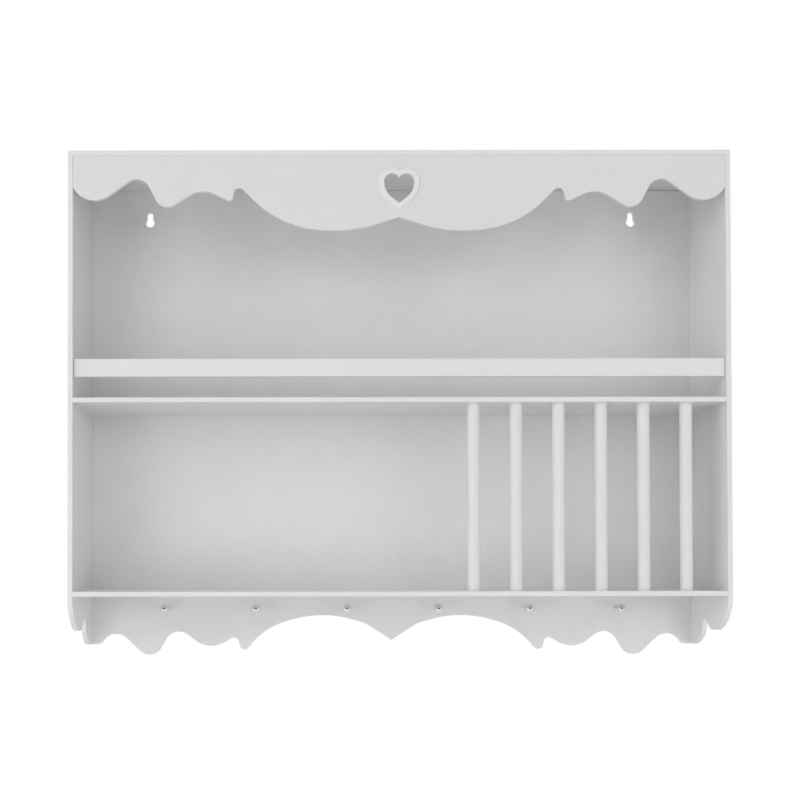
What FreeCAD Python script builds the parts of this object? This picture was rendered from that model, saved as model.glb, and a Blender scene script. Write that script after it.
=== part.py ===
import FreeCAD, Part
import math
import os

import Sketcher
from FreeCAD import Vector

# Painted wall shelf: two side boards, a top board and a back panel make a shallow open case.
# The upper bay has a guard rail and a scalloped valance with a heart cut-out. The lower bay has a
# plate rack of upright dowels on the right. The back panel runs down to a scalloped apron that
# carries a row of pegs.
#
# The frame: X to the right, Y towards the wall, Z up. The origin is on the wall plane, midway
# between the two points that the shelf hangs from, where the screws sit at the top of the keyholes.

os.makedirs("parts", exist_ok=True)
doc = FreeCAD.newDocument("wall_shelf")

# Driving dimensions in millimetres and degrees. A name that ends in share is a proportion.

SIZES = {
    # the case
    "width": 800,
    "depth": 150,
    "board": 6,
    "upper_bay": 293,
    "lower_bay": 228,
    "foot_drop": 66.5,
    "hang_drop": 39,
    # valance, heart and rim
    "valance_drop": 91.7,
    "heart_drop": 32.4,
    "lobe_spread": 8.5,
    "lobe_radius": 9.8,
    "flank_radius": 25,
    "tip_half_angle": 52,
    "rim_width": 6.3,
    "rim_thickness": 2,
    # lower edge of the back panel and its keyholes
    "apron_drop": 80,
    "keyhole_inset": 76.5,
    "keyhole_entry_radius": 5.6,
    "keyhole_slot_radius": 3.9,
    "keyhole_lift": 10,
    # front lobe of each side board's foot
    "lobe_drop": 44,
    # guard rail
    "rail_height": 22,
    "rail_thickness": 9,
    "rail_lift": 25.6,
    "rail_setback": 5,
    "rail_edge_radius": 1,
    # plate rack
    "dowel_count": 6,
    "dowel_radius": 7.5,
    "dowel_pitch": 51.6,
    "dowel_setback": 15,
    "rack_end_gap": 45.2,
    "socket_depth": 3,
    "socket_clearance": 0.1,
    # pegs
    "peg_count": 6,
    "peg_margin": 98,
    "peg_drop": 18.5,
    "peg_reach": 26,
    "peg_rod_radius": 2.1,
    "peg_ball_radius": 5,
    "peg_shank_radius": 1.6,
    "peg_clearance": 0.05,
    # headed pins that hold the butt joints
    "pin_length": 20,
    "pin_radius": 0.7,
    "pin_head_radius": 1.3,
    "pin_head_thickness": 0.8,
    "pin_clearance": 0.05,
    "pin_margin": 24,
    "depth_pin_count": 3,
    "width_pin_count": 5,
    "height_pin_count": 5,
    "rail_pin_count": 2,
    "valance_pin_count": 2,
    # cutters run this far past the faces that they cut
    "overrun": 1,
}

# Lower edge of the valance, from its end to its middle. Each corner holds its share of half the
# span, its share of the valance's drop, and its rounding radius as a share of that drop.
VALANCE_SHARES = [
    (1.000, 0.424, 0.000),
    (0.951, 0.728, 0.330),
    (0.790, 0.229, 0.185),
    (0.724, 0.762, 0.173),
    (0.606, 0.430, 0.360),
    (0.511, 0.630, 0.051),
    (0.502, 0.351, 0.073),
    (0.368, 0.928, 1.330),
    (0.160, 1.035, 1.850),
    (0.000, 0.823, 0.000),
]

# Lower edge of the back panel in the same form, with shares of the apron's drop below the bottom
# shelf. Where the drop is None, the corner is level with the feet of the side boards.
APRON_SHARES = [
    (1.000, None, 0.000),
    (0.971, None, 0.094),
    (0.925, 0.543, 0.250),
    (0.796, 1.134, 0.220),
    (0.725, 0.498, 0.250),
    (0.610, 0.943, 0.425),
    (0.516, 0.686, 0.081),
    (0.497, 0.995, 0.078),
    (0.420, 0.561, 1.130),
    (0.232, 0.279, 1.800),
    (0.085, 0.495, 0.320),
    (0.000, 0.767, 0.000),
]

# Lower edge of a side board, from front to back, with shares of the depth and of the front lobe's
# drop below the bottom shelf.
FOOT_SHARES = [
    (0.000, 0.200, 0.000),
    (0.140, 1.005, 1.330),
    (0.470, 0.985, 0.640),
    (0.600, 0.530, 0.200),
    (0.663, 1.130, 0.100),
    (0.799, None, 1.450),
    (1.000, None, 0.000),
]

# How much of a straight run between two corners their roundings may use.
USED_RUN_SHARE = 0.97

# An edge sits at a corner where it is nearer to it than this share of a board's thickness.
NEAR_SHARE = 1e-5

# Degrees in a whole turn.
FULL_TURN = 360

# The sheet that every sketch and feature below reads.

sheet = doc.addObject("Spreadsheet::Sheet", "Sizes")
aliases = []


def add_size(alias, number):
    """Write one named number into the next row of the sheet."""
    aliases.append(alias)
    row = len(aliases)
    sheet.set(f"A{row}", alias)
    sheet.set(f"B{row}", str(number))
    sheet.setAlias(f"B{row}", alias)


def add_outline_shares(name, shares):
    """Write an outline's shares into the sheet, one alias for each number."""
    for index, row in enumerate(shares):
        for column, number in zip(("along", "down", "round"), row):
            if number is not None:
                add_size(f"{name}_{index}_{column}_share", number)


for alias, number in SIZES.items():
    add_size(alias, number)
add_outline_shares("valance", VALANCE_SHARES)
add_outline_shares("apron", APRON_SHARES)
add_outline_shares("foot", FOOT_SHARES)
doc.recompute()


def value(formula):
    """The number that a formula gives with the sheet's present sizes."""
    result = sheet.evalExpression(str(formula))
    return float(getattr(result, "Value", result))


def size(alias):
    """One named size, as a formula."""
    return f"Sizes.{alias}"


def whole(alias):
    """One named count, as a whole number."""
    return round(value(size(alias)))


# Lengths and heights that several pieces share, as formulas.

BOARD = size("board")
DEPTH = size("depth")
HALF_WIDTH = f"({size('width')} / 2)"
HALF_SPAN = f"({HALF_WIDTH} - {BOARD})"
CASE_TOP = f"({size('hang_drop')} - {BOARD})"
MIDDLE_TOP = f"({CASE_TOP} - {size('upper_bay')})"
MIDDLE_UNDERSIDE = f"({MIDDLE_TOP} - {BOARD})"
BOTTOM_TOP = f"({MIDDLE_UNDERSIDE} - {size('lower_bay')})"
BOTTOM_UNDERSIDE = f"({BOTTOM_TOP} - {BOARD})"
CASE_HEIGHT = f"({CASE_TOP} - {BOTTOM_UNDERSIDE})"

DOWEL_ROW_END = f"({HALF_SPAN} - {size('rack_end_gap')})"
DOWEL_ROW_LENGTH = f"(({size('dowel_count')} - 1) * {size('dowel_pitch')})"
DOWEL_ROW_START = f"({DOWEL_ROW_END} - {DOWEL_ROW_LENGTH})"
DOWEL_LINE = f"({size('dowel_setback')} - {DEPTH})"

PEG_ROW_END = f"({HALF_SPAN} - {size('peg_margin')})"
PEG_HEIGHT = f"({BOTTOM_UNDERSIDE} - {size('peg_drop')})"

RAIL_FRONT = f"({size('rail_setback')} - {DEPTH})"
RAIL_BOTTOM = f"({MIDDLE_TOP} + {size('rail_lift')})"

# Steps of document work that the pieces repeat.


def new_body(label, x="0", y="0", z="0"):
    """A body under its label, placed by formulas."""
    body = doc.addObject("PartDesign::Body", label)
    body.Label = label
    for axis, formula in zip("xyz", (x, y, z)):
        body.setExpression(f"Placement.Base.{axis}", formula)
    return body


def new_sketch(body, name, role, lift=None):
    """A sketch on one of the body's own origin planes, or lifted off it along its normal."""
    sketch = body.newObject("Sketcher::SketchObject", name)
    plane = next(item for item in body.Origin.OriginFeatures if item.Role == role)
    sketch.AttachmentSupport = [(plane, "")]
    sketch.MapMode = "FlatFace"
    if lift is not None:
        sketch.setExpression("AttachmentOffset.Base.z", lift)
    return sketch


def bind(sketch, *definition, formula):
    """Add a sketch constraint whose number is a formula."""
    index = sketch.addConstraint(Sketcher.Constraint(*definition, value(formula)))
    sketch.setExpression(f"Constraints[{index}]", formula)


def bind_point(sketch, geometry, point, x, y):
    """Hold one point of a sketch at formulas for its two coordinates."""
    bind(sketch, "DistanceX", -1, 1, geometry, point, formula=x)
    bind(sketch, "DistanceY", -1, 1, geometry, point, formula=y)


def join(sketch, kind, first, first_point, second, second_point):
    """Join two points of a sketch, as Coincident or as Tangent."""
    sketch.addConstraint(Sketcher.Constraint(kind, first, first_point, second, second_point))


def draw_polygon(sketch, corners):
    """Closed chain of lines through corners given as pairs of formulas."""
    points = [Vector(value(x), value(y), 0) for x, y in corners]
    for index, point in enumerate(points):
        following = points[(index + 1) % len(points)]
        sketch.addGeometry(Part.LineSegment(point, following), False)
    for index, (x, y) in enumerate(corners):
        join(sketch, "Coincident", index, 2, (index + 1) % len(points), 1)
    for index, (x, y) in enumerate(corners):
        bind_point(sketch, index, 1, x, y)


def draw_rectangle(sketch, x0, y0, x1, y1):
    """Rectangle between two opposite corners."""
    draw_polygon(sketch, [(x0, y0), (x1, y0), (x1, y1), (x0, y1)])


def circle_at(x, y, radius):
    """Circle in the plane of a sketch."""
    return Part.Circle(Vector(x, y, 0), Vector(0, 0, 1), radius)


def draw_circle(sketch, x, y, radius):
    """Circle at formulas for its centre and radius."""
    index = sketch.addGeometry(circle_at(value(x), value(y), value(radius)), False)
    bind_point(sketch, index, 3, x, y)
    bind(sketch, "Radius", index, formula=radius)


def pad(body, sketch, length):
    """Raise a sketch into a solid along its normal."""
    feature = body.newObject("PartDesign::Pad", "Pad")
    feature.Profile = sketch
    feature.setExpression("Length", length)
    doc.recompute()


def pocket(body, sketch, depth=None, along_normal=False):
    """Cut a sketch into the body, to a depth or right through, and make sure that it cuts."""
    before = body.Shape.Volume
    feature = body.newObject("PartDesign::Pocket", "Pocket")
    feature.Profile = sketch
    feature.Reversed = along_normal
    if depth is None:
        feature.Type = "ThroughAll"
    else:
        feature.setExpression("Length", depth)
    doc.recompute()
    if body.Shape.Volume >= before:
        raise RuntimeError(f"a pocket in {body.Label} cuts nothing")
    return feature


def repeat_along_x(body, feature, sketch, length, count):
    """Repeat a feature along its sketch's horizontal axis, over a length, a number of times."""
    pattern = body.newObject("PartDesign::LinearPattern", "Row")
    pattern.Originals = [feature]
    pattern.Direction = (sketch, ["H_Axis"])
    pattern.setExpression("Length", length)
    pattern.setExpression("Occurrences", count)
    body.Tip = pattern
    doc.recompute()


def round_edges(body, chosen, radius):
    """Round the edges of the body's last shape that a test picks."""
    base = body.Tip
    names = [f"Edge{i}" for i, edge in enumerate(base.Shape.Edges, 1) if chosen(edge)]
    feature = body.newObject("PartDesign::Fillet", "Rounding")
    feature.Base = (base, names)
    feature.setExpression("Radius", radius)
    doc.recompute()


# Outlines with rounded corners. A corner has its own radius, unless the two straight runs beside it
# are too short for it and for the roundings at their other ends.


def outline_corners(name, shares, start, span, level, drop, foot=None):
    """Each corner's formulas for its place and radius, and what its runs leave for the radius."""
    corners = []
    for index, (along, down, rounding) in enumerate(shares):
        key = f"Sizes.{name}_{index}"
        fall = foot if down is None else f"{drop} * {key}_down_share"
        place = (f"{start} + {span} * {key}_along_share", f"-{level} - {fall}")
        corners.append((*place, f"{drop} * {key}_round_share"))
    points = [Vector(value(x), value(y), 0) for x, y, radius in corners]
    runs = [a.distanceToPoint(b) for a, b in zip(points, points[1:])]
    radii = [value(radius) for x, y, radius in corners]
    used = [0.0] * len(corners)
    for i in range(1, len(corners) - 1):
        opening = (points[i - 1] - points[i]).getAngle(points[i + 1] - points[i])
        used[i] = radii[i] / math.tan(opening / 2)
    limited = []
    for i in range(1, len(corners) - 1):
        before = runs[i - 1] / (used[i - 1] + used[i])
        after = runs[i] / (used[i] + used[i + 1])
        limited.append((*corners[i], radii[i] * USED_RUN_SHARE * min(before, after)))
    return [corner[:2] for corner in corners], limited


def round_outline(body, limited, axes, mirrored=False):
    """Round the inner corners of a padded outline, on both halves where it is mirrored."""
    near = value(BOARD) * NEAR_SHARE
    for x, y, radius, limit in limited:
        places = {(value(x), value(y))}
        if mirrored:
            places.add((-value(x), value(y)))

        def chosen(edge):
            """Whether both ends of an edge sit at one of the places, seen along the board."""
            ends = [[getattr(vertex.Point, axis) for axis in axes] for vertex in edge.Vertexes]
            return any(all(math.dist(end, place) < near for end in ends) for place in places)

        round_edges(body, chosen, f"min({radius}; {limit})")


def mirrored_polygon(half):
    """Whole closed outline from its right-hand half, which ends on the middle line."""
    left = [(f"-({x})", y) for x, y in reversed(half[:-1])]
    return [(HALF_SPAN, "0"), *half, *left, (f"-{HALF_SPAN}", "0")]


# The heart has two round lobes, two wider flanks and straight runs that meet at the tip. Its centre
# is level with the middles of the lobes. Grown by a margin it keeps the same centres, and its tip
# is rounded by the margin.


def draw_heart(sketch, middle, margin="0"):
    """One closed heart, symmetric about the sketch's vertical axis."""
    grown = value(margin)
    spread = value(size("lobe_spread"))
    lobe = value(size("lobe_radius")) + grown
    flank = value(size("flank_radius")) + grown
    lean = math.radians(value(size("tip_half_angle")))
    centre_y = value(middle)
    flank_x = spread + lobe - flank
    touch = Vector(flank_x + flank * math.cos(lean), centre_y - flank * math.sin(lean), 0)
    run_end = Vector(grown * math.cos(lean), 0, 0)
    run_end.y = touch.y - (touch.x - run_end.x) / math.tan(lean)
    notch_angle = math.acos(-spread / lobe)
    base = sketch.GeometryCount
    for side in (1, -1):
        arcs = [
            (circle_at(side * spread, centre_y, lobe), 0, notch_angle),
            (circle_at(side * flank_x, centre_y, flank), -lean, 0),
        ]
        for circle, low, high in arcs:
            span = (low, high) if side > 0 else (math.pi - high, math.pi - low)
            sketch.addGeometry(Part.ArcOfCircle(circle, *span), False)
        ends = [Vector(side * point.x, point.y, 0) for point in (touch, run_end)]
        sketch.addGeometry(Part.LineSegment(*ends), False)
    right, left, tip = base, base + 3, base + 6
    for side, lobe_arc, inner, outer in ((1, right, 1, 2), (-1, left, 2, 1)):
        flank_arc = lobe_arc + 1
        bind_point(sketch, lobe_arc, 3, f"{side} * {size('lobe_spread')}", middle)
        bind(sketch, "Radius", lobe_arc, formula=f"{size('lobe_radius')} + {margin}")
        bind(sketch, "Radius", flank_arc, formula=f"{size('flank_radius')} + {margin}")
        bind(sketch, "DistanceY", -1, 1, flank_arc, 3, formula=middle)
        join(sketch, "Tangent", lobe_arc, inner, flank_arc, outer)
        join(sketch, "Tangent", flank_arc, inner, lobe_arc + 2, 1)
    join(sketch, "Coincident", right, 2, left, 1)
    fall = f"({size('flank_radius')} + {margin}) * sin({size('tip_half_angle')})"
    bind(sketch, "DistanceY", -1, 1, right + 2, 1, formula=f"{middle} - {fall}")
    if grown > 0:
        tip_y = run_end.y + grown * math.sin(lean)
        tip_arc = Part.ArcOfCircle(circle_at(0, tip_y, grown), lean - math.pi, -lean)
        sketch.addGeometry(tip_arc, False)
        join(sketch, "Tangent", right + 2, 2, tip, 2)
        join(sketch, "Tangent", left + 2, 2, tip, 1)
        bind(sketch, "Radius", tip, formula=margin)
        sketch.addConstraint(Sketcher.Constraint("PointOnObject", tip, 3, -2))
    else:
        join(sketch, "Coincident", right + 2, 2, left + 2, 2)
        sketch.addConstraint(Sketcher.Constraint("PointOnObject", right + 2, 2, -2))


# The boards of the case.


def side_board(label, x):
    """Side board from its outline seen along X, with a scalloped foot."""
    body = new_body(label, x=x, z=CASE_TOP)
    sketch = new_sketch(body, "side_outline", "YZ_Plane")
    corners, limited = outline_corners(
        "foot", FOOT_SHARES, f"-{DEPTH}", DEPTH, CASE_HEIGHT, size("lobe_drop"), size("foot_drop")
    )
    draw_polygon(sketch, [("0", "0"), (f"-{DEPTH}", "0"), *corners])
    pad(body, sketch, BOARD)
    round_outline(body, limited, "yz")
    return body


def level_board(label, half_width, back, underside):
    """Flat level board from the front of the case back to a given line."""
    body = new_body(label, z=underside)
    sketch = new_sketch(body, "board_outline", "XY_Plane")
    draw_rectangle(sketch, f"-{half_width}", f"-{DEPTH}", half_width, back)
    pad(body, sketch, BOARD)
    return body


def cut_dowel_sockets(body, lift, along_normal):
    """Row of blind round sockets for the ends of the dowels."""
    sketch = new_sketch(body, "socket", "XY_Plane", lift)
    radius = f"{size('dowel_radius')} + {size('socket_clearance')}"
    draw_circle(sketch, DOWEL_ROW_START, DOWEL_LINE, radius)
    socket = pocket(body, sketch, size("socket_depth"), along_normal)
    repeat_along_x(body, socket, sketch, DOWEL_ROW_LENGTH, size("dowel_count"))


def valance_board(label):
    """Scalloped board across the top of the front, with the heart cut through it."""
    body = new_body(label, y=f"{BOARD} - {DEPTH}", z=CASE_TOP)
    sketch = new_sketch(body, "valance_outline", "XZ_Plane")
    corners, limited = outline_corners(
        "valance", VALANCE_SHARES, "0", HALF_SPAN, "0", size("valance_drop")
    )
    draw_polygon(sketch, mirrored_polygon(corners))
    pad(body, sketch, BOARD)
    round_outline(body, limited, "xz", mirrored=True)
    heart = new_sketch(body, "heart", "XZ_Plane")
    draw_heart(heart, f"-{size('heart_drop')}")
    pocket(body, heart, along_normal=True)
    return body


def heart_rim(label):
    """Flat heart-shaped ring on the face of the valance, round the cut-out."""
    body = new_body(label, y=f"-{DEPTH}", z=CASE_TOP)
    sketch = new_sketch(body, "rim_outline", "XZ_Plane")
    draw_heart(sketch, f"-{size('heart_drop')}")
    draw_heart(sketch, f"-{size('heart_drop')}", size("rim_width"))
    pad(body, sketch, size("rim_thickness"))
    return body


def draw_keyhole(sketch, x, y):
    """Keyhole: a narrow slot with a round top at x, y, and a round entry below it."""
    slot = size("keyhole_slot_radius")
    entry = size("keyhole_entry_radius")
    entry_y = f"{y} - {size('keyhole_lift')}"
    half_slot = math.asin(value(slot) / value(entry))
    up = math.pi / 2
    top_arc = Part.ArcOfCircle(circle_at(value(x), value(y), value(slot)), 0, math.pi)
    entry_circle = circle_at(value(x), value(entry_y), value(entry))
    entry_arc = Part.ArcOfCircle(entry_circle, up + half_slot, 5 * up - half_slot)
    top = sketch.addGeometry(top_arc, False)
    left = sketch.addGeometry(Part.LineSegment(top_arc.EndPoint, entry_arc.StartPoint), False)
    bottom = sketch.addGeometry(entry_arc, False)
    right = sketch.addGeometry(Part.LineSegment(entry_arc.EndPoint, top_arc.StartPoint), False)
    bind_point(sketch, top, 3, x, y)
    bind(sketch, "Radius", top, formula=slot)
    bind_point(sketch, bottom, 3, x, entry_y)
    bind(sketch, "Radius", bottom, formula=entry)
    join(sketch, "Tangent", top, 2, left, 1)
    join(sketch, "Coincident", left, 2, bottom, 1)
    join(sketch, "Coincident", bottom, 2, right, 1)
    join(sketch, "Tangent", right, 2, top, 1)
    for line in (left, right):
        sketch.addConstraint(Sketcher.Constraint("Vertical", line))


def back_board(label):
    """Back panel between the sides, with its scalloped apron, keyholes and peg holes."""
    body = new_body(label, z=CASE_TOP)
    sketch = new_sketch(body, "back_outline", "XZ_Plane")
    corners, limited = outline_corners(
        "apron", APRON_SHARES, "0", HALF_SPAN, CASE_HEIGHT, size("apron_drop"), size("foot_drop")
    )
    draw_polygon(sketch, mirrored_polygon(corners))
    pad(body, sketch, BOARD)
    round_outline(body, limited, "xz", mirrored=True)
    keyholes = new_sketch(body, "keyholes", "XZ_Plane")
    for side in ("-1", "1"):
        place = f"{side} * ({HALF_SPAN} - {size('keyhole_inset')})"
        draw_keyhole(keyholes, place, f"-{CASE_TOP}")
    pocket(body, keyholes, along_normal=True)
    peg_hole = new_sketch(body, "peg_hole", "XZ_Plane")
    radius = f"{size('peg_shank_radius')} + {size('peg_clearance')}"
    draw_circle(peg_hole, f"-{PEG_ROW_END}", f"{PEG_HEIGHT} - {CASE_TOP}", radius)
    hole = pocket(body, peg_hole, along_normal=True)
    repeat_along_x(body, hole, peg_hole, f"2 * {PEG_ROW_END}", size("peg_count"))
    return body


# The pieces that the boards carry.


def guard_rail(label):
    """Bar across the front of the upper bay, its long edges eased."""
    body = new_body(label, x=f"-{HALF_SPAN}")
    sketch = new_sketch(body, "rail_section", "YZ_Plane")
    rear = f"{RAIL_FRONT} + {size('rail_thickness')}"
    draw_rectangle(sketch, RAIL_FRONT, RAIL_BOTTOM, rear, f"{RAIL_BOTTOM} + {size('rail_height')}")
    pad(body, sketch, f"2 * {HALF_SPAN}")
    long_way = value(HALF_SPAN)
    round_edges(body, lambda edge: edge.Length > long_way, size("rail_edge_radius"))
    return body


def rack_dowel(label, index):
    """Upright dowel that stands in the sockets of both shelves."""
    x = f"{DOWEL_ROW_START} + {index} * {size('dowel_pitch')}"
    body = new_body(label, x=x, y=DOWEL_LINE, z=f"{BOTTOM_TOP} - {size('socket_depth')}")
    sketch = new_sketch(body, "dowel_section", "XY_Plane")
    draw_circle(sketch, "0", "0", size("dowel_radius"))
    pad(body, sketch, f"{size('lower_bay')} + 2 * {size('socket_depth')}")
    return body


def peg(label, index):
    """Turned metal peg: a shank in the back panel, a thicker rod and a ball at its end."""
    pitch = f"2 * {PEG_ROW_END} / ({size('peg_count')} - 1)"
    body = new_body(label, x=f"{index} * {pitch} - {PEG_ROW_END}", z=PEG_HEIGHT)
    sketch = new_sketch(body, "peg_profile", "XY_Plane")
    shank = size("peg_shank_radius")
    rod = size("peg_rod_radius")
    ball = size("peg_ball_radius")
    middle = f"(-{BOARD} - {size('peg_reach')})"
    neck = f"{middle} + sqrt({ball} ^ 2 - {rod} ^ 2)"
    corners = [
        ("0", "0"),
        (shank, "0"),
        (shank, f"-{BOARD}"),
        (rod, f"-{BOARD}"),
        (rod, neck),
    ]
    points = [Vector(value(x), value(y), 0) for x, y in corners]
    for start, end in zip(points, points[1:]):
        sketch.addGeometry(Part.LineSegment(start, end), False)
    around = circle_at(0, value(middle), value(ball))
    neck_angle = math.acos(value(rod) / value(ball))
    arc = sketch.addGeometry(Part.ArcOfCircle(around, -math.pi / 2, neck_angle), False)
    low = Vector(0, value(middle) - value(ball), 0)
    axis_line = sketch.addGeometry(Part.LineSegment(low, points[0]), False)
    for line, (x, y) in enumerate(corners[:-1]):
        bind_point(sketch, line, 1, x, y)
    bind_point(sketch, len(corners) - 2, 2, *corners[-1])
    for line in range(len(corners) - 2):
        join(sketch, "Coincident", line, 2, line + 1, 1)
    join(sketch, "Coincident", len(corners) - 2, 2, arc, 2)
    join(sketch, "Coincident", arc, 1, axis_line, 1)
    join(sketch, "Coincident", axis_line, 2, 0, 1)
    bind_point(sketch, arc, 3, "0", middle)
    sketch.addConstraint(Sketcher.Constraint("PointOnObject", arc, 1, -2))
    turned = body.newObject("PartDesign::Revolution", "Turned")
    turned.Profile = sketch
    turned.ReferenceAxis = (sketch, ["V_Axis"])
    turned.Angle = FULL_TURN
    doc.recompute()
    return body


# The headed pins. Each starts at a place on an outer face and points into the joint.


def spread(first, last, count):
    """Evenly spaced numbers from the first to the last, or the middle one alone."""
    if count < 2:
        return [(first + last) / 2]
    return [first + (last - first) * i / (count - 1) for i in range(count)]


def pin_places():
    """Every pin as its place on an outer face and its direction."""
    half_board = value(BOARD) / 2
    half_width = value(HALF_WIDTH)
    half_span = value(HALF_SPAN)
    depth = value(DEPTH)
    margin = value(size("pin_margin"))
    top = value(size("hang_drop"))
    case_top = value(CASE_TOP)
    foot = value(BOTTOM_UNDERSIDE) - value(size("foot_drop"))
    shelves = [value(MIDDLE_UNDERSIDE) + half_board, value(BOTTOM_UNDERSIDE) + half_board]
    depth_places = spread(margin - depth, -margin, whole("depth_pin_count"))
    width_places = spread(margin - half_span, half_span - margin, whole("width_pin_count"))
    height_places = spread(case_top - margin, foot + margin, whole("height_pin_count"))
    valance_end = value(size("valance_drop")) * VALANCE_SHARES[0][1]
    valance_pins = whole("valance_pin_count")
    rail_height = value(size("rail_height"))
    rail_pins = whole("rail_pin_count")
    down = Vector(0, 0, -1)
    forward = Vector(0, -1, 0)
    places = []
    for x in width_places:
        places.append((Vector(x, half_board - depth, top), down))
        places.append((Vector(x, -half_board, top), down))
        for z in shelves:
            places.append((Vector(x, 0, z), forward))
    for side in (-1, 1):
        inward = Vector(-side, 0, 0)
        for y in depth_places:
            places.append((Vector(side * (half_width - half_board), y, top), down))
            for z in shelves:
                places.append((Vector(side * half_width, y, z), inward))
        for z in height_places:
            places.append((Vector(side * half_width, -half_board, z), inward))
        for i in range(valance_pins):
            z = case_top - valance_end * (i + 0.5) / valance_pins
            places.append((Vector(side * half_width, half_board - depth, z), inward))
        for i in range(rail_pins):
            y = value(RAIL_FRONT) + value(size("rail_thickness")) / 2
            z = value(RAIL_BOTTOM) + rail_height * (i + 0.5) / rail_pins
            places.append((Vector(side * half_width, y, z), inward))
    return places


def pin_solid(place, direction, clearance=0, overrun=0):
    """Headed pin, or with a clearance and an overrun the hole for it."""
    head_length = value(size("pin_head_thickness")) + clearance + overrun
    length = value(size("pin_length")) + clearance + overrun
    start = place - direction * overrun
    head_radius = value(size("pin_head_radius")) + clearance
    head = Part.makeCylinder(head_radius, head_length, start, direction)
    shank = Part.makeCylinder(value(size("pin_radius")) + clearance, length, start, direction)
    return head.fuse(shank)


def shape_object(label, shapes):
    """One document object that holds a group of separate solids."""
    item = doc.addObject("Part::Feature", label)
    item.Label = label
    item.Shape = Part.makeCompound(shapes)
    item.Placement = FreeCAD.Placement()
    return item


def pinned(label, board):
    """The board with the holes of the pins that run through it."""
    cut = doc.addObject("Part::Cut", label)
    cut.Label = label
    cut.Base = board
    cut.Tool = pin_holes
    doc.recompute()
    return cut


# Everything together. Each finished piece is listed under the name that its file gets.

clearance = value(size("pin_clearance"))
overrun = value(size("overrun"))
places = pin_places()
pin_holes = shape_object("pin_holes", [pin_solid(*place, clearance, overrun) for place in places])
panel_pins = shape_object("panel_pins", [pin_solid(*place) for place in places])

middle_blank = level_board("middle_blank", HALF_SPAN, f"-{BOARD}", MIDDLE_UNDERSIDE)
bottom_blank = level_board("bottom_blank", HALF_SPAN, f"-{BOARD}", BOTTOM_UNDERSIDE)
cut_dowel_sockets(middle_blank, lift="0", along_normal=True)
cut_dowel_sockets(bottom_blank, lift=BOARD, along_normal=False)

pieces = [
    pinned("left_side", side_board("left_blank", f"-{HALF_WIDTH}")),
    pinned("right_side", side_board("right_blank", HALF_SPAN)),
    pinned("top_board", level_board("top_blank", HALF_WIDTH, "0", CASE_TOP)),
    pinned("front_valance", valance_board("valance_blank")),
    heart_rim("heart_rim"),
    pinned("back_panel", back_board("back_blank")),
    pinned("guard_rail", guard_rail("rail_blank")),
    pinned("middle_shelf", middle_blank),
    pinned("bottom_shelf", bottom_blank),
    panel_pins,
]
for i in range(whole("dowel_count")):
    pieces.append(rack_dowel(f"rack_dowel_{i + 1}", i))
for i in range(whole("peg_count")):
    pieces.append(peg(f"peg_{i + 1}", i))
doc.recompute()

for item in doc.Objects:
    if "Invalid" in item.State or "Error" in item.State:
        raise RuntimeError(f"{item.Label} has failed: {item.State}")
for piece in pieces:
    if piece.Shape.isNull() or not piece.Shape.isValid():
        raise RuntimeError(f"{piece.Label} has no sound shape")
for piece in pieces:
    piece.Shape.exportStep(f"parts/{piece.Label}.step")
    box = piece.Shape.BoundBox
    spans = f"{box.XLength:.1f} x {box.YLength:.1f} x {box.ZLength:.1f}"
    print(f"{piece.Label}: {len(piece.Shape.Solids)} solid, {spans} mm")
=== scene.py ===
# %% [markdown]
# # A painted wall shelf
#
# This is a thin wall cabinet without doors: six-millimetre boards butted together and painted a
# satin off-white. It has a scalloped valance with a heart, a guard rail, a plate rack of dowels
# and a scalloped apron with bright metal pegs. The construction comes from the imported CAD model,
# which stays as it is. Each board is then redrawn with eased edges, because sharp edges catch no
# light and look like paper.

# %% Load the frame
import math

import bpy
import numpy as np
from mathutils import Matrix, Vector
from mathutils.geometry import delaunay_2d_cdt


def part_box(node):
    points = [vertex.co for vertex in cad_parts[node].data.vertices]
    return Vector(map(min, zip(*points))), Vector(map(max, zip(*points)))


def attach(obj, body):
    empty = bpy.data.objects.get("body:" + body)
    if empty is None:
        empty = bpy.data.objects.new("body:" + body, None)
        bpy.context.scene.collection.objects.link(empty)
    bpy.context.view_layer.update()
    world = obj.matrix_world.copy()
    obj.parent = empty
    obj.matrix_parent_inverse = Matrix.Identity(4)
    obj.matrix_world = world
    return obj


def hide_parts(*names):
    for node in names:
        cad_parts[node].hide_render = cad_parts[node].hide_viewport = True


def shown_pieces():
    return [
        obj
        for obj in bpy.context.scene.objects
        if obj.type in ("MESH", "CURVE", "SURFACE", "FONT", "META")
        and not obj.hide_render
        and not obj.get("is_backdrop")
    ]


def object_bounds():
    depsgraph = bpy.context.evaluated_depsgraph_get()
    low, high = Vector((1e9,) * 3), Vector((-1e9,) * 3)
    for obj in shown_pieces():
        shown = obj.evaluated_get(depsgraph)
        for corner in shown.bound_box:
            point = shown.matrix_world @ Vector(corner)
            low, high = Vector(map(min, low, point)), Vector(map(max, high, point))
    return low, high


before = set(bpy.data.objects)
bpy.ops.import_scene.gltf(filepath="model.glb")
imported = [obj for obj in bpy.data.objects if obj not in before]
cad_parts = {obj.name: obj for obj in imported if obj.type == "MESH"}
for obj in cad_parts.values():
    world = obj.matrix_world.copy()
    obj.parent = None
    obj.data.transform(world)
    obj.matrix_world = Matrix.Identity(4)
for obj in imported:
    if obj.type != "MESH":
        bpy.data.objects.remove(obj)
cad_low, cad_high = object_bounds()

MM = 0.001
box_in_mm = [round(side / MM) for side in cad_high - cad_low]
print("nodes:", len(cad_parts), "box in mm:", box_in_mm)

# %% [markdown]
# ## Reading a board's outline
#
# Every board is flat, so its whole shape is one outline and a thickness. The outline could be typed
# in again here, but then two files would have to agree. It is read from the CAD node instead. A
# board is looked at along one direction w, with u to the right and v up, so that its face is a
# plain two-dimensional drawing.

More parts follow.
